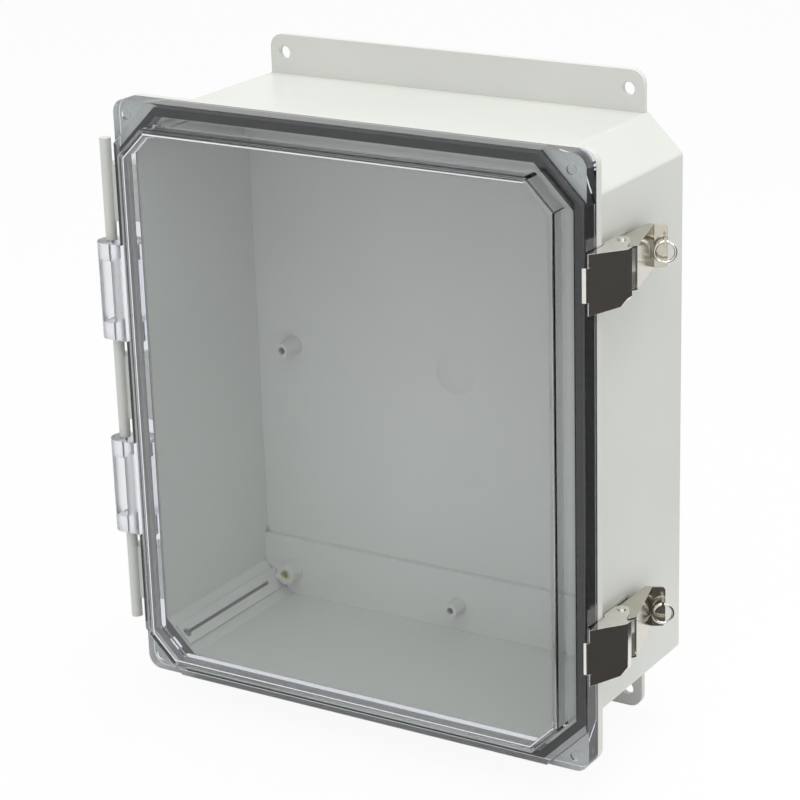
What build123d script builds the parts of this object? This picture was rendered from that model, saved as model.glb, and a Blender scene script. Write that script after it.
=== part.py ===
from build123d import *
import os

# Hinged wall enclosure: an octagonal tub, a clear raised cover and two stainless latches.
# X is to the right, Z is up, the wall plane is Y = 0 and the cover faces -Y.
# A depth, called d here, is a distance in front of the wall. All sizes are in mm.

# Tub
INSIDE_W = 304.8
INSIDE_H = 355.6
WALL = 3.6
CORNER_LEG = 22.7
CORNER_EDGE_R = 3.0
TUB_D = 119.8
RIM_LIP_X = 5.5
RIM_LIP_Z = 6.8
RIM_T = 6.6
RIM_R = 9.0
RIM_EDGE_R = 1.0

# Mounting flanges, each seated in a recess across the back of the tub
FLANGE_INSET = 23.75
FLANGE_REACH = 25.1
FLANGE_T = 4.0
FLANGE_R = 8.5
FLANGE_FOOT_INSET = 17.2
FLANGE_FOOT_H = 27.4
FLANGE_NECK_H = 13.4
FLANGE_GAP = 0.2
WALL_HOLE_R = 4.25
WALL_HOLE_SIDE_INSET = 10.25
WALL_HOLE_END_INSET = 11.5
FLANGE_SCREW_R = 1.5
FLANGE_SCREW_HEAD_R = 3.2
FLANGE_SCREW_HEAD_T = 1.8
FLANGE_SCREW_L = 9.2
FLANGE_SCREW_KEY = 2.0

# Bosses on the back wall
PANEL_SIDE_INSET = 22.9
PANEL_END_INSET = 17.5
SIDE_BOSS_INSET = 28.2
BOSS_D = 18.0
CORNER_BOSS_R = 6.75
MID_BOSS_R = 4.8
MID_BOSS_HOLE_R = 2.4
MID_BOSS_HOLE_L = 8.0
BOSS_TAPER = 0.9
BOSS_WEB_T = 3.5
BOSS_WEB_D = 13.5
INSERT_R = 3.7
INSERT_L = 7.4
INSERT_BORE_R = 2.1
INSERT_GROOVE_W = 1.2
INSERT_GROOVE_DEEP = 0.5
DOME_R = 15.0
DOME_RISE = 2.6

# Slotted rails on the four inner corner faces
RAIL_W = 15.0
RAIL_RISE = 2.0
RAIL_BEHIND_RIM = 0.8
SLOT_W = 2.2
SLOT_DEEP = 4.4
SLOT_BACK_D = 22.0
KEYHOLE_R = 3.1
KEYHOLE_BEHIND_RIM = 5.0

# Cover
COVER_T = 13.8
COVER_GAP = 0.4
PLATEAU_LEG = 27.5
EAR_STEP = 2.5
EAR_DIMPLE_R = 3.0
EAR_DIMPLE_DEEP = 1.2
EAR_DIMPLE_INSET = 9.5
WINDOW_SIDE_INSET = 12.5
WINDOW_END_INSET = 12.8
WINDOW_LEG = 18.0
WINDOW_RISE = 14.0
WINDOW_EDGE_R = 3.0
COVER_WALL = 3.2
HOLLOW_EDGE_R = 1.5
COVER_EDGE_R = 1.0
GASKET_INSET = 3.0
GASKET_W = 5.0
GASKET_FACE_IN = 5.0
GASKET_GAP = 0.3

# Hinge
PIN_OUT = 13.0
PIN_BEHIND_FACE = 9.3
PIN_R = 1.6
PIN_FIT = 0.02
PIN_RUNNING = 0.06
PIN_GRIP = 12.0
KNUCKLE_SPACING = 129.6
KNUCKLE_H = 62.0
KNUCKLE_R = 9.1
KNUCKLE_WINDOW_W = 9.0
KNUCKLE_WINDOW_H = 40.0
KNUCKLE_GAP = 0.4
BARREL_R = 3.6
BARREL_TOP_PAST_ARM = 16.5
BARREL_FOOT_PAST_ARM = 12.8
ARM_PAST_KNUCKLE = 12.7
OUTER_ARM_H = 36.0
MIDDLE_ARM_HALF = 21.0
ARM_GAP = 0.5

# Latches: the same parts at two heights on the right side.
# Places are given as the distance out from the tub's side and behind the cover's face.
LATCH_TOP_INSET = 70.2
LATCH_FOOT_INSET = 79.7
SHEET = 1.2
BASE_T = 1.5
BASE_HALF_H = 11.4
BASE_FRONT_BEHIND = 22.0
BASE_BACK_BEHIND = 61.0
EAR_R = 4.2
RIVET_R = 1.6
RIVET_HEAD_R = 3.4
RIVET_HEAD_T = 1.3
RIVETS_BEHIND = (45.5, 56.0)
PIVOT_OUT = 11.5
PIVOT_BEHIND = 28.0
PIVOT_R = 1.5
LEVER_HALF_H = 12.9
LEVER_INNER_OUT = 4.3
LEVER_FRONT_LINE = [(4.3, 30.0), (7.2, 25.0), (15.5, 24.4)]
LEVER_BACK_LINE = [(21.0, 33.5), (9.4, 77.6)]
LEVER_HEEL = (5.2, 76.1)
HOOK_PIVOT_OUT = 9.5
HOOK_PIVOT_BEHIND = 37.0
HOOK_RIVET_R = 1.5
HOOK_RIVET_HEAD_R = 3.0
HOOK_RIVET_HEAD_T = 0.8
SIDE_GAP = 0.4
TAB_ANGLE = 28.8
TAB_START = -4.8
TAB_END = 7.9
TAB_CORNER_R = 2.5
HOOK_TOP = 14.5
HOOK_BOTTOM = -21.8
HOOK_PLATE_LINE = [(7.0, 0.6), (21.8, 18.8), (21.8, 24.3)]
HOOK_PLATE_BEND_R = 3.0
HOOK_SLOPE_H = 3.7
HOOK_BEVEL_W = 3.2
HOOK_BEVEL_H = 5.4
HOOK_CHEEK_LINE = [(7.6, 1.4), (6.3, 8.0), (6.3, 21.5), (4.4, 24.0), (4.4, 37.0), (7.0, 41.4)]
HOOK_CHEEK_LINE += [(12.0, 41.4), (15.6, 35.0), (18.0, 26.0), (21.2, 22.5), (21.2, 18.1)]
TONGUE_TOP = 6.6
TONGUE_BOTTOM = -13.6
TONGUE_REACH = 1.2
TONGUE_GAP = 0.3
TONGUE_BEND_OUT = 5.9
TONGUE_ROOT = (8.3, 2.2)
TONGUE_BEND_R = 1.0
RING_R = 6.1
RING_WIRE_R = 0.9
RING_ALONG = 6.2
RING_AHEAD = 5.2
RING_TOP = 3.7
EYE_T = 1.5
EYE_H = 5.2
EYE_RIM = 0.8
EYE_BORE_R = 1.2

# Sizes that follow
TUB_W = INSIDE_W + 2 * WALL
TUB_H = INSIDE_H + 2 * WALL
RIM_W = TUB_W + 2 * RIM_LIP_X
RIM_H = TUB_H + 2 * RIM_LIP_Z
FLANGE_W = TUB_W - 2 * FLANGE_INSET
FLANGE_FOOT_W = TUB_W - 2 * FLANGE_FOOT_INSET
WALL_HOLE_X = FLANGE_W / 2 - WALL_HOLE_SIDE_INSET
WALL_HOLE_Z = TUB_H / 2 + FLANGE_REACH - WALL_HOLE_END_INSET
PANEL_X = INSIDE_W / 2 - PANEL_SIDE_INSET
PANEL_Z = INSIDE_H / 2 - PANEL_END_INSET
SIDE_BOSS_X = INSIDE_W / 2 - SIDE_BOSS_INSET
RAIL_FRONT_D = TUB_D - RAIL_BEHIND_RIM
KEYHOLE_D = TUB_D - KEYHOLE_BEHIND_RIM
BACK_D = TUB_D + COVER_GAP
FACE_D = BACK_D + COVER_T
WINDOW_W = RIM_W - 2 * WINDOW_SIDE_INSET
WINDOW_H = RIM_H - 2 * WINDOW_END_INSET
WINDOW_D = FACE_D + WINDOW_RISE
BAND_D = FLANGE_T + WALL
RECESS_LOW = TUB_H / 2 - FLANGE_NECK_H - FLANGE_FOOT_H
PIN_X = -(RIM_W / 2 + PIN_OUT)
PIN_D = FACE_D - PIN_BEHIND_FACE
KNUCKLE_Z = KNUCKLE_SPACING / 2
KNUCKLE_LOW = KNUCKLE_Z - KNUCKLE_H / 2
KNUCKLE_HIGH = KNUCKLE_Z + KNUCKLE_H / 2
LUG_H = (KNUCKLE_H - KNUCKLE_WINDOW_H) / 2
OUTER_ARM_LOW = KNUCKLE_HIGH + ARM_PAST_KNUCKLE
OUTER_ARM_HIGH = OUTER_ARM_LOW + OUTER_ARM_H
LATCH_Z = {"upper": RIM_H / 2 - LATCH_TOP_INSET, "lower": LATCH_FOOT_INSET - RIM_H / 2}
SIDE_X = TUB_W / 2
PIVOT_X = SIDE_X + PIVOT_OUT
PIVOT_D = FACE_D - PIVOT_BEHIND
HOOK_PIVOT_X = SIDE_X + HOOK_PIVOT_OUT
HOOK_PIVOT_D = FACE_D - HOOK_PIVOT_BEHIND
RIVET_D = [FACE_D - behind for behind in RIVETS_BEHIND]
DIAGONAL = 2 ** 0.5
CORNERS = [(sx, sz) for sx in (-1, 1) for sz in (-1, 1)]


def inset_leg(leg, inset):
    """Corner leg of an octagon whose eight sides all move in by inset."""
    return leg - inset * (2 - DIAGONAL)


def octagon(width, height, leg):
    """Rectangle in X and Z with its four corners cut at 45 degrees."""
    x, z = width / 2, height / 2
    points = [(x, z - leg), (x - leg, z), (leg - x, z), (-x, z - leg)]
    points += [(-x, leg - z), (leg - x, -z), (x - leg, -z), (x, leg - z)]
    return Polygon(*points, align=None)


def slab(sketch, back, front):
    """Sketch in X and Z, made solid from depth back to depth front."""
    return extrude(Plane.XZ.offset(back) * sketch, front - back, dir=(0, -1, 0))


def peg(radius, back, front, x, z, tip_radius=None):
    """Round piece along the depth, tapered when tip_radius is given."""
    middle = Pos(x, -(back + front) / 2, z) * Rot(X=90)
    if tip_radius is None:
        return middle * Cylinder(radius, front - back)
    return middle * Cone(radius, tip_radius, front - back)


def upright(sketch, low, high):
    """Sketch in X and Y, made solid from height low to height high."""
    return extrude(Plane.XY.offset(low) * sketch, high - low, dir=(0, 0, 1))


def plan(*points):
    """Plan view outline through points given as X and depth."""
    return Polygon(*[(x, -d) for x, d in points], align=None)


def latch_points(places):
    """Plan points on a latch from places given as out from the side and behind the face."""
    return [(SIDE_X + out, FACE_D - behind) for out, behind in places]


def line_points(places):
    """The same places as points in X and Y, for a bent sheet."""
    return [(x, -d) for x, d in latch_points(places)]


def post(radius, low, high, x, d):
    """Round piece along Z."""
    return Pos(x, -d, (low + high) / 2) * Cylinder(radius, high - low)


def tab_plane(z):
    """Front of a latch's finger tab: X out along the tab, Y up, Z away from the tab."""
    root_x, root_d = latch_points(LEVER_BACK_LINE)[-1]
    return Plane(origin=(root_x, -root_d, z), x_dir=(1, 0, 0), z_dir=(0, -1, 0)) * Rot(Y=TAB_ANGLE)


def corner_plane(sx, sz):
    """Plane on an inner corner face: X along the face, Y into the tub, Z the depth."""
    leg = inset_leg(CORNER_LEG, WALL)
    origin = (sx * (INSIDE_W - leg) / 2, 0, sz * (INSIDE_H - leg) / 2)
    return Plane(origin=origin, x_dir=(-sz, 0, sx), z_dir=(0, -1, 0))


def corner_rail(sx, sz):
    """Raised pad on an inner corner face, from the back band to the rim."""
    length = RAIL_FRONT_D - WALL
    pad = Pos(0, RAIL_RISE / 2 - WALL / 4, WALL + length / 2)
    return corner_plane(sx, sz) * pad * Box(RAIL_W, RAIL_RISE + WALL / 2, length)


def corner_slot(sx, sz):
    """Keyhole in a rail: a round hole near the rim and a narrow slot running back."""
    middle_y = RAIL_RISE - SLOT_DEEP / 2
    length = KEYHOLE_D - SLOT_BACK_D
    slot = Pos(0, middle_y, SLOT_BACK_D + length / 2) * Box(SLOT_W, SLOT_DEEP, length)
    hole = Pos(0, middle_y, KEYHOLE_D) * Rot(X=90) * Cylinder(KEYHOLE_R, SLOT_DEEP)
    return corner_plane(sx, sz) * (slot + hole)


def corner_boss(sx, sz):
    """Insert boss with a web that ties it to the corner face."""
    x, z = sx * PANEL_X, sz * PANEL_Z
    boss = peg(CORNER_BOSS_R + BOSS_TAPER, WALL, BOSS_D, x, z, CORNER_BOSS_R)
    leg = inset_leg(CORNER_LEG, WALL)
    reach = ((INSIDE_W - leg) / 2 - PANEL_X + (INSIDE_H - leg) / 2 - PANEL_Z) / DIAGONAL
    web = Pos(0, reach / 2, (WALL + BOSS_WEB_D) / 2) * Box(BOSS_WEB_T, reach, BOSS_WEB_D - WALL)
    return boss + corner_plane(sx, sz) * web


def flange_outline(gap, side):
    """Flange in X and Z: a wide foot under the tub and a narrower plate past its end."""
    foot_z = RECESS_LOW + FLANGE_FOOT_H / 2
    foot = Pos(0, side * foot_z) * Rectangle(FLANGE_FOOT_W + 2 * gap, FLANGE_FOOT_H + 2 * gap)
    length = FLANGE_NECK_H + FLANGE_REACH + FLANGE_FOOT_H / 2
    plate_z = TUB_H / 2 + FLANGE_REACH - length / 2
    plate = RectangleRounded(FLANGE_W + 2 * gap, length, FLANGE_R)
    return foot + Pos(0, side * plate_z) * plate


def flange_screw_places(side):
    return [(x, side * PANEL_Z) for x in (-PANEL_X, 0, PANEL_X)]


def panel_hole_depth():
    return BOSS_D - INSERT_L


def barrel_spans():
    """Heights of the three hinge barrels of the tub, between and beside the knuckles."""
    low = KNUCKLE_LOW - KNUCKLE_GAP
    high = KNUCKLE_HIGH + KNUCKLE_GAP
    foot, top = -(OUTER_ARM_HIGH + BARREL_FOOT_PAST_ARM), OUTER_ARM_HIGH + BARREL_TOP_PAST_ARM
    return [(foot, -high), (-low, low), (high, top)]


def hinge_arm(low, high):
    """Arm that carries a barrel from the side of the rim, past the cover's edge."""
    rim_x = -RIM_W / 2
    edge_x = rim_x - ARM_GAP
    outer_x = PIN_X - BARREL_R
    back_d = TUB_D - RIM_T
    outline = plan(
        (rim_x, back_d), (rim_x, TUB_D), (edge_x, TUB_D), (edge_x, PIN_D),
        (outer_x, PIN_D), (outer_x, TUB_D), (PIN_X, back_d),
    )
    return upright(outline, low, high)


def hinge_pin_spans():
    """Heights of the four pins, each through one lug into the end of a barrel."""
    upper = (KNUCKLE_HIGH - LUG_H, KNUCKLE_HIGH + KNUCKLE_GAP + PIN_GRIP)
    lower = (KNUCKLE_LOW - KNUCKLE_GAP - PIN_GRIP, KNUCKLE_LOW + LUG_H)
    return [upper, lower, (-upper[1], -upper[0]), (-lower[1], -lower[0])]


def enclosure_body():
    tub = slab(octagon(TUB_W, TUB_H, CORNER_LEG), 0, TUB_D)
    tub = fillet(tub.edges().filter_by(Axis.Y), CORNER_EDGE_R)
    rim = slab(RectangleRounded(RIM_W, RIM_H, RIM_R), TUB_D - RIM_T, TUB_D)
    rim = fillet(rim.edges().group_by(Axis.Y)[-1], RIM_EDGE_R)
    tub += rim
    inner = octagon(INSIDE_W, INSIDE_H, inset_leg(CORNER_LEG, WALL))
    tub -= slab(inner, WALL, TUB_D)
    band_h = INSIDE_H / 2 - RECESS_LOW + WALL
    for side in (-1, 1):
        band_z = side * (INSIDE_H / 2 - band_h / 2)
        band = (Pos(0, band_z) * Rectangle(INSIDE_W, band_h)) & inner
        tub += slab(band, 0, BAND_D)
    for corner in CORNERS:
        tub += corner_rail(*corner)
        tub += corner_boss(*corner)
    mid_places = [(SIDE_BOSS_X, 0), (-SIDE_BOSS_X, 0), (0, PANEL_Z), (0, -PANEL_Z)]
    for x, z in mid_places:
        tub += peg(MID_BOSS_R + BOSS_TAPER * 2, WALL, BOSS_D, x, z, MID_BOSS_R)
    for x, z in mid_places:
        tub -= peg(MID_BOSS_HOLE_R, BOSS_D - MID_BOSS_HOLE_L, BOSS_D, x, z)
    dome_r = (DOME_R ** 2 + DOME_RISE ** 2) / (2 * DOME_RISE)
    ball = Pos(0, dome_r - WALL - DOME_RISE, 0) * Sphere(dome_r)
    tub += ball & slab(Circle(DOME_R), WALL / 2, BOSS_D)
    for sx, sz in CORNERS:
        tub -= corner_slot(sx, sz)
        tub -= peg(INSERT_R, panel_hole_depth(), BOSS_D, sx * PANEL_X, sz * PANEL_Z)
    for side in (-1, 1):
        tub -= slab(flange_outline(FLANGE_GAP, side), 0, FLANGE_T)
        for x, z in flange_screw_places(side):
            tub -= peg(FLANGE_SCREW_R + PIN_FIT, FLANGE_T, FLANGE_SCREW_L + PIN_FIT, x, z)
    for low, high in barrel_spans():
        tub += post(BARREL_R, low, high, PIN_X, PIN_D)
    arms = [(-OUTER_ARM_HIGH, -OUTER_ARM_LOW), (OUTER_ARM_LOW, OUTER_ARM_HIGH)]
    arms.append((-MIDDLE_ARM_HALF, MIDDLE_ARM_HALF))
    for low, high in arms:
        tub += hinge_arm(low, high)
    for low, high in hinge_pin_spans():
        tub -= post(PIN_R + PIN_FIT, low, high, PIN_X, PIN_D)
    for z in LATCH_Z.values():
        for d in RIVET_D:
            tub -= Pos(SIDE_X, -d, z) * Rot(Y=90) * Cylinder(RIVET_R + PIN_FIT, 4 * WALL)
    return tub


def mounting_flange(side):
    plate = slab(flange_outline(0, side), 0, FLANGE_T)
    for x in (-WALL_HOLE_X, WALL_HOLE_X):
        plate -= peg(WALL_HOLE_R, 0, FLANGE_T, x, side * WALL_HOLE_Z)
    for x, z in flange_screw_places(side):
        plate -= peg(FLANGE_SCREW_R + PIN_RUNNING, 0, FLANGE_T, x, z)
        head_r = FLANGE_SCREW_HEAD_R + PIN_RUNNING
        plate -= peg(head_r, 0, FLANGE_SCREW_HEAD_T, x, z, FLANGE_SCREW_R + PIN_RUNNING)
    return plate


def flange_screw(x, z):
    """Countersunk screw from the back, with a hexagon socket."""
    head = peg(FLANGE_SCREW_HEAD_R, 0, FLANGE_SCREW_HEAD_T, x, z, FLANGE_SCREW_R)
    shank = peg(FLANGE_SCREW_R, FLANGE_SCREW_HEAD_T, FLANGE_SCREW_L, x, z)
    socket = slab(Pos(x, z) * RegularPolygon(FLANGE_SCREW_KEY / 2, 6), 0, FLANGE_SCREW_HEAD_T)
    return head + shank - socket


def flange_screws():
    places = flange_screw_places(-1) + flange_screw_places(1)
    return Compound(children=[flange_screw(x, z) for x, z in places])


def panel_insert(x, z):
    """Brass threaded insert: a tube with one groove round its middle."""
    back = panel_hole_depth()
    middle = (back + BOSS_D) / 2
    tube = peg(INSERT_R, back, BOSS_D, x, z)
    groove = peg(INSERT_R, middle - INSERT_GROOVE_W / 2, middle + INSERT_GROOVE_W / 2, x, z)
    core = peg(INSERT_R - INSERT_GROOVE_DEEP, back, BOSS_D, x, z)
    return tube - (groove - core) - peg(INSERT_BORE_R, back, BOSS_D, x, z)


def panel_inserts():
    return Compound(children=[panel_insert(sx * PANEL_X, sz * PANEL_Z) for sx, sz in CORNERS])


def hinge_pins(spans):
    return Compound(children=[post(PIN_R, low, high, PIN_X, PIN_D) for low, high in spans])


def cover_knuckle(side):
    """Clear hinge knuckle: two lugs joined outside by a strap, open between them."""
    low, high = sorted((side * KNUCKLE_LOW, side * KNUCKLE_HIGH))
    barrel = post(KNUCKLE_R, low, high, PIN_X, PIN_D)
    neck = upright(plan((PIN_X, FACE_D - COVER_EDGE_R), (-RIM_W / 2, FACE_D - COVER_EDGE_R),
                        (-RIM_W / 2, BACK_D), (PIN_X, BACK_D)), low, high)
    opening = Pos(PIN_X, -PIN_D, side * KNUCKLE_Z)
    opening *= Box(KNUCKLE_WINDOW_W, 4 * KNUCKLE_R, KNUCKLE_WINDOW_H)
    bore = post(PIN_R + PIN_RUNNING, low, high, PIN_X, PIN_D)
    return barrel + neck - opening - bore


def gasket_inside():
    shift = 2 * (GASKET_INSET + GASKET_W)
    return octagon(RIM_W - shift, RIM_H - shift, inset_leg(PLATEAU_LEG, GASKET_W))


def gasket_ring(back, front):
    outer = octagon(RIM_W - 2 * GASKET_INSET, RIM_H - 2 * GASKET_INSET, PLATEAU_LEG)
    return slab(outer - gasket_inside(), back, front)


def cover():
    ears = slab(RectangleRounded(RIM_W, RIM_H, RIM_R), BACK_D, FACE_D - EAR_STEP)
    plateau = RectangleRounded(RIM_W, RIM_H, RIM_R) & octagon(RIM_W, RIM_H, PLATEAU_LEG)
    face = slab(plateau, BACK_D, FACE_D)
    face = fillet(face.edges().group_by(Axis.Y)[0], COVER_EDGE_R)
    window = slab(octagon(WINDOW_W, WINDOW_H, WINDOW_LEG), BACK_D, WINDOW_D)
    window = fillet(window.edges().filter_by(Axis.Y), CORNER_EDGE_R)
    window = fillet(window.edges().group_by(Axis.Y)[0], WINDOW_EDGE_R)
    shell = ears + face + window
    hollow_w, hollow_h = WINDOW_W - 2 * COVER_WALL, WINDOW_H - 2 * COVER_WALL
    hollow = octagon(hollow_w, hollow_h, inset_leg(WINDOW_LEG, COVER_WALL))
    hollow = slab(hollow, BACK_D, WINDOW_D - COVER_WALL)
    shell -= fillet(hollow.edges().group_by(Axis.Y)[0], HOLLOW_EDGE_R)
    shell -= gasket_ring(BACK_D, FACE_D - GASKET_FACE_IN)
    shell -= slab(gasket_inside(), BACK_D, FACE_D - COVER_WALL)
    for sx, sz in CORNERS:
        x = sx * (RIM_W / 2 - EAR_DIMPLE_INSET)
        z = sz * (RIM_H / 2 - EAR_DIMPLE_INSET)
        front = FACE_D - EAR_STEP
        shell -= peg(EAR_DIMPLE_R, front - EAR_DIMPLE_DEEP, front, x, z)
    for side in (-1, 1):
        shell += cover_knuckle(side)
    return shell


def cover_gasket():
    return gasket_ring(TUB_D + GASKET_GAP, FACE_D - GASKET_FACE_IN)


def latch_base(z):
    """Channel riveted to the side wall, with two ears for the pivot pin."""
    top_x = SIDE_X + BASE_T
    front_d = FACE_D - BASE_FRONT_BEHIND
    back_d = FACE_D - BASE_BACK_BEHIND
    low, high = z - BASE_HALF_H, z + BASE_HALF_H
    foot = plan((SIDE_X, back_d), (SIDE_X, front_d), (top_x, front_d), (top_x, back_d))
    base = upright(foot, low, high)
    ear = plan((SIDE_X, PIVOT_D - 3 * EAR_R), (SIDE_X, front_d),
               (PIVOT_X, PIVOT_D + EAR_R), (PIVOT_X, PIVOT_D - EAR_R))
    ear += Pos(PIVOT_X, -PIVOT_D) * Circle(EAR_R)
    base += upright(ear, low, low + BASE_T)
    base += upright(ear, high - BASE_T, high)
    base -= post(PIVOT_R + PIN_FIT, low, high, PIVOT_X, PIVOT_D)
    for d in RIVET_D:
        base -= Pos(SIDE_X, -d, z) * Rot(Y=90) * Cylinder(RIVET_R + PIN_FIT, 4 * BASE_T)
    return base


def base_rivet(d, z):
    """Rivet through base and wall: a domed head outside and a flat head inside."""
    inner_x, outer_x = SIDE_X - WALL, SIDE_X + BASE_T
    turn = Rot(Y=90)
    shank = Pos((inner_x + outer_x) / 2, -d, z) * turn * Cylinder(RIVET_R, outer_x - inner_x)
    head = Pos(outer_x + RIVET_HEAD_T / 2, -d, z) * turn
    head *= Cone(RIVET_HEAD_R, RIVET_HEAD_R / 2, RIVET_HEAD_T)
    tail = Pos(inner_x - RIVET_HEAD_T / 2, -d, z) * turn * Cylinder(RIVET_HEAD_R, RIVET_HEAD_T)
    return head + shank + tail


def latch_rivets(z):
    return Compound(children=[base_rivet(d, z) for d in RIVET_D])


def latch_pivot_pin(z):
    return post(PIVOT_R, z - LEVER_HALF_H, z + LEVER_HALF_H, PIVOT_X, PIVOT_D)


def latch_lever(z):
    """Channel lever with a finger tab bent out at its back end and an eye for the ring."""
    cheek = plan(*latch_points([LEVER_HEEL] + LEVER_FRONT_LINE + LEVER_BACK_LINE))
    low, high = z - LEVER_HALF_H, z + LEVER_HALF_H
    lever = upright(cheek, low, low + SHEET) + upright(cheek, high - SHEET, high)
    web = Polyline(*[(x - SHEET / 2, y) for x, y in line_points(LEVER_BACK_LINE)])
    lever += upright(trace(web, SHEET), low, high)
    tab = Pos((TAB_START + TAB_END) / 2, 0, -SHEET / 2)
    tab *= Box(TAB_END - TAB_START, high - low, SHEET)
    tab = fillet(tab.edges().filter_by(Axis.Z).group_by(Axis.X)[-1], TAB_CORNER_R)
    eye_front = RING_AHEAD + EYE_BORE_R + EYE_RIM
    eye = Pos(RING_ALONG, RING_TOP, eye_front / 2) * Box(EYE_T, EYE_H, eye_front)
    eye -= Pos(RING_ALONG, RING_TOP, RING_AHEAD) * Rot(Y=90) * Cylinder(EYE_BORE_R, EYE_T)
    lever += tab_plane(z) * (tab + eye)
    lever -= post(PIVOT_R + PIN_RUNNING, low, high, PIVOT_X, PIVOT_D)
    lever -= post(HOOK_RIVET_R + PIN_RUNNING, low, high, HOOK_PIVOT_X, HOOK_PIVOT_D)
    return lever


def latch_hook(z):
    """Pressed hook: slanted front plate, a tongue over the cover's edge and two cheeks."""
    plate_line = FilletPolyline(*line_points(HOOK_PLATE_LINE), radius=HOOK_PLATE_BEND_R)
    low = z + HOOK_BOTTOM
    hook = upright(trace(plate_line, SHEET), low, z + HOOK_TOP)
    near_x, edge_x = SIDE_X + HOOK_PLATE_LINE[0][0] - SHEET, SIDE_X + HOOK_PLATE_LINE[-1][0] + SHEET
    bend_z = low + HOOK_SLOPE_H
    trimmed = Polygon((near_x, low), (edge_x - HOOK_BEVEL_W, bend_z),
                      (edge_x, bend_z + HOOK_BEVEL_H), (edge_x, low), align=None)
    hook -= slab(trimmed, 0, FACE_D)
    tongue_y = -(FACE_D + TONGUE_GAP + SHEET / 2)
    tip_x = RIM_W / 2 - TONGUE_REACH
    root = line_points([TONGUE_ROOT])[0]
    tongue_line = FilletPolyline((tip_x, tongue_y), (SIDE_X + TONGUE_BEND_OUT, tongue_y), root,
                                 radius=TONGUE_BEND_R)
    hook += upright(trace(tongue_line, SHEET), z + TONGUE_BOTTOM, z + TONGUE_TOP)
    cheek = plan(*latch_points(HOOK_CHEEK_LINE))
    hook += upright(cheek, z + HOOK_TOP - SHEET, z + HOOK_TOP)
    hook += upright(cheek, z - HOOK_TOP, z - HOOK_TOP + SHEET)
    hook -= post(HOOK_RIVET_R + PIN_FIT, z - HOOK_TOP, z + HOOK_TOP, HOOK_PIVOT_X, HOOK_PIVOT_D)
    return hook


def hook_rivets(z):
    """Two short rivets that hinge the hook's cheeks on the lever's cheeks."""
    rivets = []
    for side in (-1, 1):
        inner = LEVER_HALF_H - SHEET
        shank = sorted((z + side * inner, z + side * HOOK_TOP))
        head = sorted((z + side * HOOK_TOP, z + side * (HOOK_TOP + HOOK_RIVET_HEAD_T)))
        rivet = post(HOOK_RIVET_R, *shank, HOOK_PIVOT_X, HOOK_PIVOT_D)
        rivets.append(rivet + post(HOOK_RIVET_HEAD_R, *head, HOOK_PIVOT_X, HOOK_PIVOT_D))
    return Compound(children=rivets)


def latch_ring(z):
    return tab_plane(z) * Pos(RING_ALONG, RING_TOP - RING_R, RING_AHEAD) * Torus(RING_R, RING_WIRE_R)


def nodes():
    spans = hinge_pin_spans()
    model = {
        "enclosure_body": enclosure_body(),
        "mounting_flange_upper": mounting_flange(1),
        "mounting_flange_lower": mounting_flange(-1),
        "flange_screws": flange_screws(),
        "panel_inserts": panel_inserts(),
        "hinge_pins_upper": hinge_pins(spans[:2]),
        "hinge_pins_lower": hinge_pins(spans[2:]),
        "cover": cover(),
        "cover_gasket": cover_gasket(),
    }
    for name, z in LATCH_Z.items():
        model[f"{name}_latch_base"] = latch_base(z)
        model[f"{name}_latch_rivets"] = latch_rivets(z)
        model[f"{name}_latch_pivot_pin"] = latch_pivot_pin(z)
        model[f"{name}_latch_lever"] = latch_lever(z)
        model[f"{name}_latch_hook"] = latch_hook(z)
        model[f"{name}_hook_rivets"] = hook_rivets(z)
        model[f"{name}_latch_ring"] = latch_ring(z)
    return model


os.makedirs("parts", exist_ok=True)
for node, shape in nodes().items():
    export_step(shape, f"parts/{node}.step")
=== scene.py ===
import math

import bpy
from mathutils import Matrix, Vector


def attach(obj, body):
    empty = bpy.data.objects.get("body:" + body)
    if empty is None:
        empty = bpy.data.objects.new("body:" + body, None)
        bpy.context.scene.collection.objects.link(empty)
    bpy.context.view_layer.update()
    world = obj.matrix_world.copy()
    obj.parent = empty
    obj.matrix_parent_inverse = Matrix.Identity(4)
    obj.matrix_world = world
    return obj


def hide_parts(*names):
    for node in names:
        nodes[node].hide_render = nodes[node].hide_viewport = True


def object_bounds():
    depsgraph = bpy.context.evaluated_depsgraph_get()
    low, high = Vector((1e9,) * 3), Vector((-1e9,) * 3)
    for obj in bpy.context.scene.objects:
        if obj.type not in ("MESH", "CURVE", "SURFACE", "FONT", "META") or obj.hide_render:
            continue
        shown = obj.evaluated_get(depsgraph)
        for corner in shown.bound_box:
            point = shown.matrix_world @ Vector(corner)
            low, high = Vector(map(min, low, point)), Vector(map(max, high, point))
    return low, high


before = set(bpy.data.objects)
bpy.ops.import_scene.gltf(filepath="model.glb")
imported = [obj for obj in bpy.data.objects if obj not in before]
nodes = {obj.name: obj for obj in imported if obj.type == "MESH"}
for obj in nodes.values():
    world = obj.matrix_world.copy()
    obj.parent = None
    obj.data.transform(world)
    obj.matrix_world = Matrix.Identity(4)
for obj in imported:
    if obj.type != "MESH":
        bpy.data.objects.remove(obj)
cad_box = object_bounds()

# Camera, found from the straight edges of the enclosure. Lengths are in metres.
AZIMUTH = math.radians(30.669)
ELEVATION = math.radians(20.080)
ROLL = math.radians(-1.190)
DISTANCE = 1.52863
TARGET = Vector((0.084004, -0.134, 0.013110))
FOCAL_PX = 2635.04
CENTRE_PX = (467.51, 435.78)
FRAME_PX = 800.0
SENSOR_MM = 36.0
FARTHEST = 50


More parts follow.
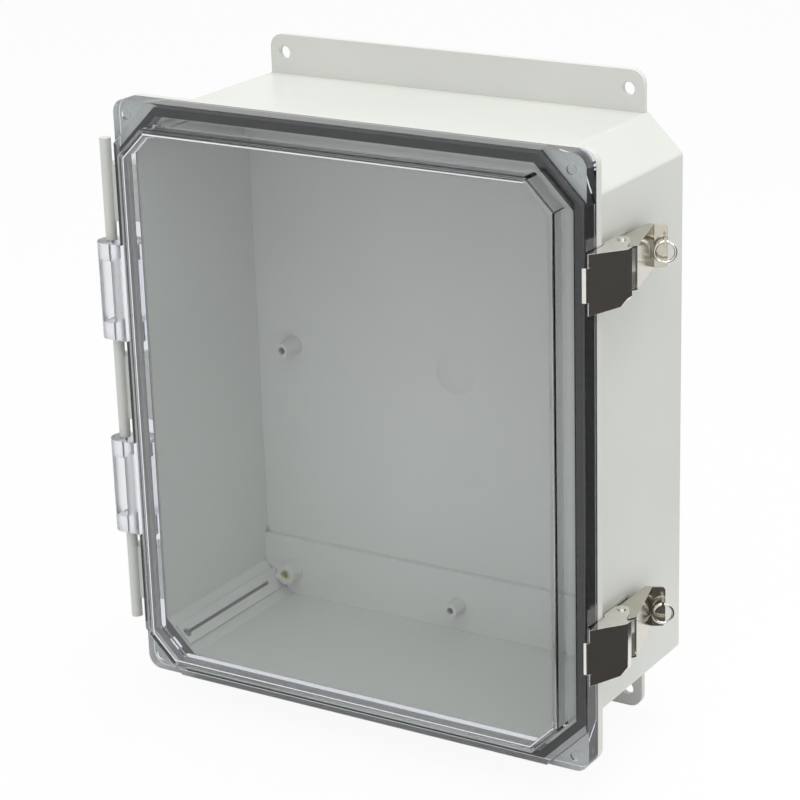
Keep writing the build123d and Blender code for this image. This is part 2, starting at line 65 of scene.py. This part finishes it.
def add_camera():
    back = Vector((math.sin(AZIMUTH) * math.cos(ELEVATION),
                   -math.cos(AZIMUTH) * math.cos(ELEVATION), math.sin(ELEVATION)))
    right = (-back).cross(Vector((0, 0, 1))).normalized()
    up = right.cross(-back)
    turned_right = math.cos(ROLL) * right + math.sin(ROLL) * up
    turned_up = math.cos(ROLL) * up - math.sin(ROLL) * right
    data = bpy.data.cameras.new("camera")
    data.sensor_width = SENSOR_MM
    data.lens = FOCAL_PX / FRAME_PX * SENSOR_MM
    data.shift_x = (FRAME_PX / 2 - CENTRE_PX[0]) / FRAME_PX
    data.shift_y = (CENTRE_PX[1] - FRAME_PX / 2) / FRAME_PX
    data.clip_end = FARTHEST
    camera = bpy.data.objects.new("camera", data)
    turn = Matrix((turned_right, turned_up, back)).transposed().to_4x4()
    camera.matrix_world = Matrix.Translation(TARGET + DISTANCE * back) @ turn
    bpy.context.scene.collection.objects.link(camera)
    bpy.context.scene.camera = camera
    bpy.context.scene.view_settings.view_transform = "Standard"


def add_mesh(name, points, faces):
    mesh = bpy.data.meshes.new(name)
    mesh.from_pydata(points, [], faces)
    piece = bpy.data.objects.new(name, mesh)
    bpy.context.scene.collection.objects.link(piece)
    return piece


# Shader nodes
def set_inputs(tree, node, values):
    """Fill a node's first inputs. Each value is a number, a vector or a node's output."""
    for socket, value in zip(node.inputs, values):
        if isinstance(value, bpy.types.NodeSocket):
            tree.links.new(value, socket)
        else:
            socket.default_value = value


def math_node(tree, operation, *values):
    """Output of one Math node."""
    node = tree.nodes.new("ShaderNodeMath")
    node.operation = operation
    set_inputs(tree, node, values)
    return node.outputs[0]


def vector_node(tree, operation, *values):
    """Output of one Vector Math node, a number for DOT_PRODUCT and DISTANCE and else a vector."""
    node = tree.nodes.new("ShaderNodeVectorMath")
    node.operation = operation
    set_inputs(tree, node, values)
    return node.outputs["Value" if operation in ("DOT_PRODUCT", "DISTANCE") else "Vector"]


def map_range(tree, value, source=(0.0, 1.0), target=(0.0, 1.0)):
    """Value carried over from one span to the other, and held inside it."""
    node = tree.nodes.new("ShaderNodeMapRange")
    set_inputs(tree, node, (value, *source, *target))
    return node.outputs["Result"]


def mix_surfaces(tree, share, first, second):
    """Surface that is the first shader where share is 0 and the second where it is 1."""
    mix = tree.nodes.new("ShaderNodeMixShader")
    set_inputs(tree, mix, (share, first, second))
    tree.links.new(mix.outputs[0], tree.nodes["Material Output"].inputs["Surface"])


def new_surface(name, colour, roughness, metallic=0.0):
    material = bpy.data.materials.new(name)
    material.use_nodes = True
    tree = material.node_tree
    surface = tree.nodes["Principled BSDF"]
    surface.inputs["Base Color"].default_value = (*colour, 1)
    surface.inputs["Roughness"].default_value = roughness
    surface.inputs["Metallic"].default_value = metallic
    return material, tree, surface


def seen_directly(tree):
    """1 for rays from the camera, from gloss and through clear plastic, else 0."""
    rays = tree.nodes.new("ShaderNodeLightPath").outputs
    either = math_node(tree, "MAXIMUM", rays["Is Camera Ray"], rays["Is Glossy Ray"])
    return math_node(tree, "MAXIMUM", either, rays["Is Transmission Ray"])


# Studio. The world is white where it is seen directly, and lights the pieces at AMBIENT.
# The floor glows by GLOW_SHARE where it is seen directly.
AMBIENT = 0.6
GLOW_SHARE = 0.93
FLOOR_Z = cad_box[0][2]
FLOOR_HALF = 6.0

# Black cards that the bright latch plates and the lower tab reflect.
CARD_COLOUR = (0.042, 0.039, 0.037)
CARD_LOW = FLOOR_Z + 0.01
CARD_HIGH = 0.4
CARDS = {
    "black_card": [(0.27, -0.185, CARD_LOW), (1.0, -0.5, CARD_HIGH),
                   (1.0, 0.6, CARD_HIGH), (0.27, 0.6, CARD_LOW)],
    "low_black_card": [(0.21, -0.42, CARD_LOW), (0.42, -0.42, CARD_LOW),
                       (0.42, -0.17, CARD_LOW), (0.21, -0.17, CARD_LOW)],
}

# Lamps, each with its place, width and height, power and colour. They aim at the tub's middle.
LAMP_AIM = Vector((0, -0.06, 0))
LAMPS = {
    "key": ((0.6, -1.6, 2.2), (1.6, 1.2), 20, (1.0, 1.0, 1.0)),
    "side": ((2.2, -0.7, 0.8), (1.4, 1.4), 9.5, (1.0, 1.0, 1.0)),
    "top": ((0.3, 0.1, 2.2), (1.2, 1.2), 21, (0.97, 1.0, 0.95)),
}


def add_world():
    world = bpy.data.worlds.new("studio")
    bpy.context.scene.world = world
    world.use_nodes = True
    tree = world.node_tree
    background = tree.nodes["Background"]
    background.inputs["Color"].default_value = (1, 1, 1, 1)
    strength = map_range(tree, seen_directly(tree), target=(AMBIENT, 1.0))
    tree.links.new(strength, background.inputs["Strength"])


def add_floor():
    corners = [(x * FLOOR_HALF, y * FLOOR_HALF, FLOOR_Z)
               for x, y in ((-1, -1), (1, -1), (1, 1), (-1, 1))]
    floor = add_mesh("floor", corners, [(0, 1, 2, 3)])
    material, tree, surface = new_surface("pale_floor", (0.86, 0.86, 0.86), 0.9)
    surface.inputs["Specular IOR Level"].default_value = 0.0
    glow = tree.nodes.new("ShaderNodeEmission")
    glow.inputs["Strength"].default_value = 1.0
    share = math_node(tree, "MULTIPLY", seen_directly(tree), GLOW_SHARE)
    mix_surfaces(tree, share, surface.outputs[0], glow.outputs[0])
    floor.data.materials.append(material)


def add_card(name, corners):
    """Studio card that shows in reflections alone."""
    card = add_mesh(name, corners, [(0, 1, 2, 3)])
    card.data.materials.append(new_surface(name, CARD_COLOUR, 0.9)[0])
    for ray in ("camera", "diffuse", "transmission", "shadow", "volume_scatter"):
        setattr(card, f"visible_{ray}", False)


def add_lamp(name, place, size, power, colour):
    data = bpy.data.lights.new(name, "AREA")
    data.color = colour
    data.shape = "RECTANGLE"
    data.size, data.size_y = size
    data.energy = power
    lamp = bpy.data.objects.new(name, data)
    turn = (Vector(place) - LAMP_AIM).to_track_quat("Z", "Y").to_matrix().to_4x4()
    lamp.matrix_world = Matrix.Translation(place) @ turn
    bpy.context.scene.collection.objects.link(lamp)


# Foam gasket: half width, half height and corner leg of its ring, and its section as inset and
# depth in front of the wall. It starts 0.05 mm outside the plain ring, where the cover holds it.
GASKET_HALF_X = 0.1585
GASKET_HALF_Z = 0.1852
GASKET_LEG = 0.0275
GASKET_SECTION = [(-0.00005, 0.12905), (-0.00005, 0.1212), (0.0003, 0.1205), (0.0010, 0.1201),
                  (0.0040, 0.1201), (0.0047, 0.1205), (0.0050, 0.1212), (0.0050, 0.12905)]
RING_SIDES = 8


def add_gasket():
    """Foam ring with rounded lips, bonded to the cover. It stands for the plain ring."""
    points = []
    for inset, depth in GASKET_SECTION:
        x, z = GASKET_HALF_X - inset, GASKET_HALF_Z - inset
        leg = GASKET_LEG - inset * (2 - math.sqrt(2))
        ring = [(x, z - leg), (x - leg, z), (leg - x, z), (-x, z - leg),
                (-x, leg - z), (leg - x, -z), (x - leg, -z), (x, leg - z)]
        points += [(px, -depth, pz) for px, pz in ring]
    count = len(GASKET_SECTION)
    faces = []
    for row in range(count):
        for side in range(RING_SIDES):
            here, there = row * RING_SIDES, (row + 1) % count * RING_SIDES
            turn = (side + 1) % RING_SIDES
            faces.append((here + side, here + turn, there + turn, there + side))
    foam = add_mesh("gasket_foam", points, faces)
    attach(foam, "cover")
    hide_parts("cover_gasket")
    return foam


# Materials. Noise scales are per metre, and bump heights and edge radii are in metres.
BODY_EDGE_R = 0.0008
SHEET_EDGE_R = 0.0003
SMALL_EDGE_R = 0.0002
POLISH_STRETCH = (1.0, 1.0, 0.04)

# Painted shade in slots: the colour darkens to the last share below as the open share falls over
# SLOT_OPEN.
SLOT_REACH = 0.006
SLOT_OPEN = (0.2, 0.5)
SLOT_PAINTED_SHADE = 0.12

# The clear cover is frosted on its hinge knuckles, which start this far out on the left, and in
# the dimple of each ear, fully within the second radius. Its window's edge is frosted in part.
CLEAR_ROUGHNESS = 0.015
FROST_ROUGHNESS = 0.3
EDGE_FROST = 0.4
KNUCKLE_START = 0.1618
KNUCKLE_FADE = 0.001
DIMPLE = (0.152, 0.0, 0.1787)
DIMPLE_RADII = (0.0031, 0.0028)

# The raised window: its front face, its edge radius, and its sides as direction and reach.
WINDOW_DEPTH = 0.148
WINDOW_EDGE_R = 0.003
DIAGONAL = math.sqrt(0.5)
WINDOW_SIDES = [((1, 0, 0), 0.149), ((0, 0, 1), 0.1754),
                ((DIAGONAL, 0, DIAGONAL), 0.3064 * DIAGONAL)]


def noise(tree, scale, detail=3.0, stretch=None):
    place = tree.nodes.new("ShaderNodeTexCoord").outputs["Object"]
    if stretch:
        mapping = tree.nodes.new("ShaderNodeMapping")
        mapping.inputs["Scale"].default_value = stretch
        tree.links.new(place, mapping.inputs["Vector"])
        place = mapping.outputs["Vector"]
    texture = tree.nodes.new("ShaderNodeTexNoise")
    texture.inputs["Scale"].default_value = scale
    texture.inputs["Detail"].default_value = detail
    tree.links.new(place, texture.inputs["Vector"])
    return texture.outputs["Fac"]


def vary_colour(tree, surface, value, dark, light):
    ramp = tree.nodes.new("ShaderNodeValToRGB")
    for element, position, colour in zip(ramp.color_ramp.elements, (0.3, 0.7), (dark, light)):
        element.position = position
        element.color = (*colour, 1)
    tree.links.new(value, ramp.inputs["Fac"])
    tree.links.new(ramp.outputs["Color"], surface.inputs["Base Color"])


def vary_roughness(tree, surface, value, low, high):
    tree.links.new(map_range(tree, value, target=(low, high)), surface.inputs["Roughness"])


def add_bump(tree, surface, value, height, edge_radius=0.0):
    bump = tree.nodes.new("ShaderNodeBump")
    bump.inputs["Distance"].default_value = height
    bump.inputs["Strength"].default_value = 1.0
    tree.links.new(value, bump.inputs["Height"])
    if edge_radius:
        edge = tree.nodes.new("ShaderNodeBevel")
        edge.inputs["Radius"].default_value = edge_radius
        tree.links.new(edge.outputs["Normal"], bump.inputs["Normal"])
    tree.links.new(bump.outputs["Normal"], surface.inputs["Normal"])


def paint_slot_shade(tree, surface):
    """Paint shade into the colour inside narrow slots and holes, where little light reaches."""
    colour = surface.inputs["Base Color"].links[0].from_socket
    open_share = tree.nodes.new("ShaderNodeAmbientOcclusion")
    open_share.samples = 8
    open_share.only_local = True
    open_share.inputs["Distance"].default_value = SLOT_REACH
    painted_shade_colour = tree.nodes.new("ShaderNodeVectorMath")
    painted_shade_colour.operation = "SCALE"
    # Painted shade: the colour is scaled down where little of the hollow around it is open.
    depth = map_range(tree, open_share.outputs["AO"], SLOT_OPEN, (SLOT_PAINTED_SHADE, 1.0))
    tree.links.new(colour, painted_shade_colour.inputs[0])
    tree.links.new(depth, painted_shade_colour.inputs["Scale"])
    tree.links.new(painted_shade_colour.outputs[0], surface.inputs["Base Color"])


def body_plastic():
    """Moulded polycarbonate, light warm grey, satin, with a very fine grain and painted shade in
    its slots.
    """
    material, tree, surface = new_surface("moulded_grey", (0.66, 0.67, 0.635), 0.32)
    vary_colour(tree, surface, noise(tree, 9.0), (0.64, 0.651, 0.618), (0.675, 0.684, 0.65))
    paint_slot_shade(tree, surface)
    vary_roughness(tree, surface, noise(tree, 40.0), 0.26, 0.36)
    add_bump(tree, surface, noise(tree, 900.0, 2.0), 0.00003, BODY_EDGE_R)
    surface.inputs["Specular IOR Level"].default_value = 0.45
    return material


def window_edge_share(tree, quarter, depth_axis):
    """1 on the rounded front edge of the raised window, else 0."""
    past = None
    for direction, reach in WINDOW_SIDES:
        along = vector_node(tree, "DOT_PRODUCT", quarter, direction)
        side = math_node(tree, "SUBTRACT", along, reach - WINDOW_EDGE_R)
        past = side if past is None else math_node(tree, "MAXIMUM", past, side)
    outside = math_node(tree, "GREATER_THAN", past, 0.0)
    ahead = math_node(tree, "LESS_THAN", depth_axis, WINDOW_EDGE_R - WINDOW_DEPTH)
    return math_node(tree, "MULTIPLY", outside, ahead)


def frosted_share(tree):
    """1 on the hinge knuckles and in the ears' round dimples, less on the window's edge, else 0."""
    place = tree.nodes.new("ShaderNodeTexCoord").outputs["Object"]
    axes = tree.nodes.new("ShaderNodeSeparateXYZ")
    tree.links.new(place, axes.inputs[0])
    knuckle_span = (-KNUCKLE_START, -KNUCKLE_START - KNUCKLE_FADE)
    knuckle = map_range(tree, axes.outputs["X"], knuckle_span)
    quarter = vector_node(tree, "ABSOLUTE", place)
    flat = vector_node(tree, "MULTIPLY", quarter, (1, 0, 1))
    dimple = map_range(tree, vector_node(tree, "DISTANCE", flat, DIMPLE), DIMPLE_RADII)
    either = math_node(tree, "MAXIMUM", knuckle, dimple)
    edge = window_edge_share(tree, quarter, axes.outputs["Y"])
    return math_node(tree, "MAXIMUM", either, math_node(tree, "MULTIPLY", edge, EDGE_FROST))


def clear_plastic():
    """Clear polycarbonate. Lamplight goes straight through and loses about half at each face."""
    tint = (0.95, 0.96, 0.97)
    material, tree, surface = new_surface("clear_polycarbonate", tint, CLEAR_ROUGHNESS)
    vary_roughness(tree, surface, frosted_share(tree), CLEAR_ROUGHNESS, FROST_ROUGHNESS)
    surface.inputs["Transmission Weight"].default_value = 1.0
    surface.inputs["IOR"].default_value = 1.58
    add_bump(tree, surface, noise(tree, 14.0, 1.0), 0.00005)
    absorb = tree.nodes.new("ShaderNodeVolumeAbsorption")
    absorb.inputs["Color"].default_value = (0.62, 0.66, 0.86, 1)
    absorb.inputs["Density"].default_value = 12.0
    tree.links.new(absorb.outputs[0], tree.nodes["Material Output"].inputs["Volume"])
    passing = tree.nodes.new("ShaderNodeBsdfTransparent")
    passing.inputs["Color"].default_value = (0.44, 0.505, 0.465, 1)
    toward_lamp = tree.nodes.new("ShaderNodeLightPath").outputs["Is Shadow Ray"]
    mix_surfaces(tree, toward_lamp, surface.outputs[0], passing.outputs[0])
    return material


def gasket_rubber():
    material, tree, surface = new_surface("foam_rubber", (0.012, 0.012, 0.014), 0.75)
    vary_colour(tree, surface, noise(tree, 300.0), (0.01, 0.01, 0.011), (0.022, 0.022, 0.025))
    add_bump(tree, surface, noise(tree, 1200.0), 0.0001)
    return material


def steel(name, colour, roughness, edge_radius=SHEET_EDGE_R):
    """Stainless or plated steel with faint polishing lines along Z."""
    material, tree, surface = new_surface(name, colour, roughness, 1.0)
    lines = noise(tree, 260.0, 4.0, POLISH_STRETCH)
    vary_roughness(tree, surface, lines, roughness * 0.7, roughness * 1.5)
    dark = tuple(channel * 0.93 for channel in colour)
    vary_colour(tree, surface, noise(tree, 120.0), dark, colour)
    add_bump(tree, surface, lines, 0.000008, edge_radius)
    return material


def brass():
    material, tree, surface = new_surface("machined_brass", (0.9, 0.8, 0.22), 0.18, 1.0)
    vary_colour(tree, surface, noise(tree, 500.0), (0.78, 0.68, 0.16), (0.95, 0.85, 0.27))
    add_bump(tree, surface, noise(tree, 2500.0), 0.00002, SMALL_EDGE_R)
    return material


def set_material(material, *names):
    for name in names:
        for slot in nodes[name].material_slots:
            slot.material = material


add_camera()
add_world()
add_floor()
for name, corners in CARDS.items():
    add_card(name, corners)
for name, settings in LAMPS.items():
    add_lamp(name, *settings)

set_material(body_plastic(), "enclosure_body", "mounting_flange_upper", "mounting_flange_lower")
set_material(clear_plastic(), "cover")
add_gasket().data.materials.append(gasket_rubber())
bright = steel("bright_stainless", (0.8, 0.77, 0.73), 0.07)
brushed = steel("brushed_stainless", (0.54, 0.52, 0.44), 0.26)
satin = steel("satin_stainless", (0.57, 0.545, 0.465), 0.15)
for side in ("upper", "lower"):
    set_material(bright, f"{side}_latch_hook", f"{side}_latch_ring", f"{side}_hook_rivets")
    set_material(satin, f"{side}_latch_lever")
    set_material(brushed, f"{side}_latch_base", f"{side}_latch_rivets", f"{side}_latch_pivot_pin",
                 f"hinge_pins_{side}")
set_material(steel("plated_steel", (0.5, 0.5, 0.5), 0.25, SMALL_EDGE_R), "flange_screws")
set_material(brass(), "panel_inserts")
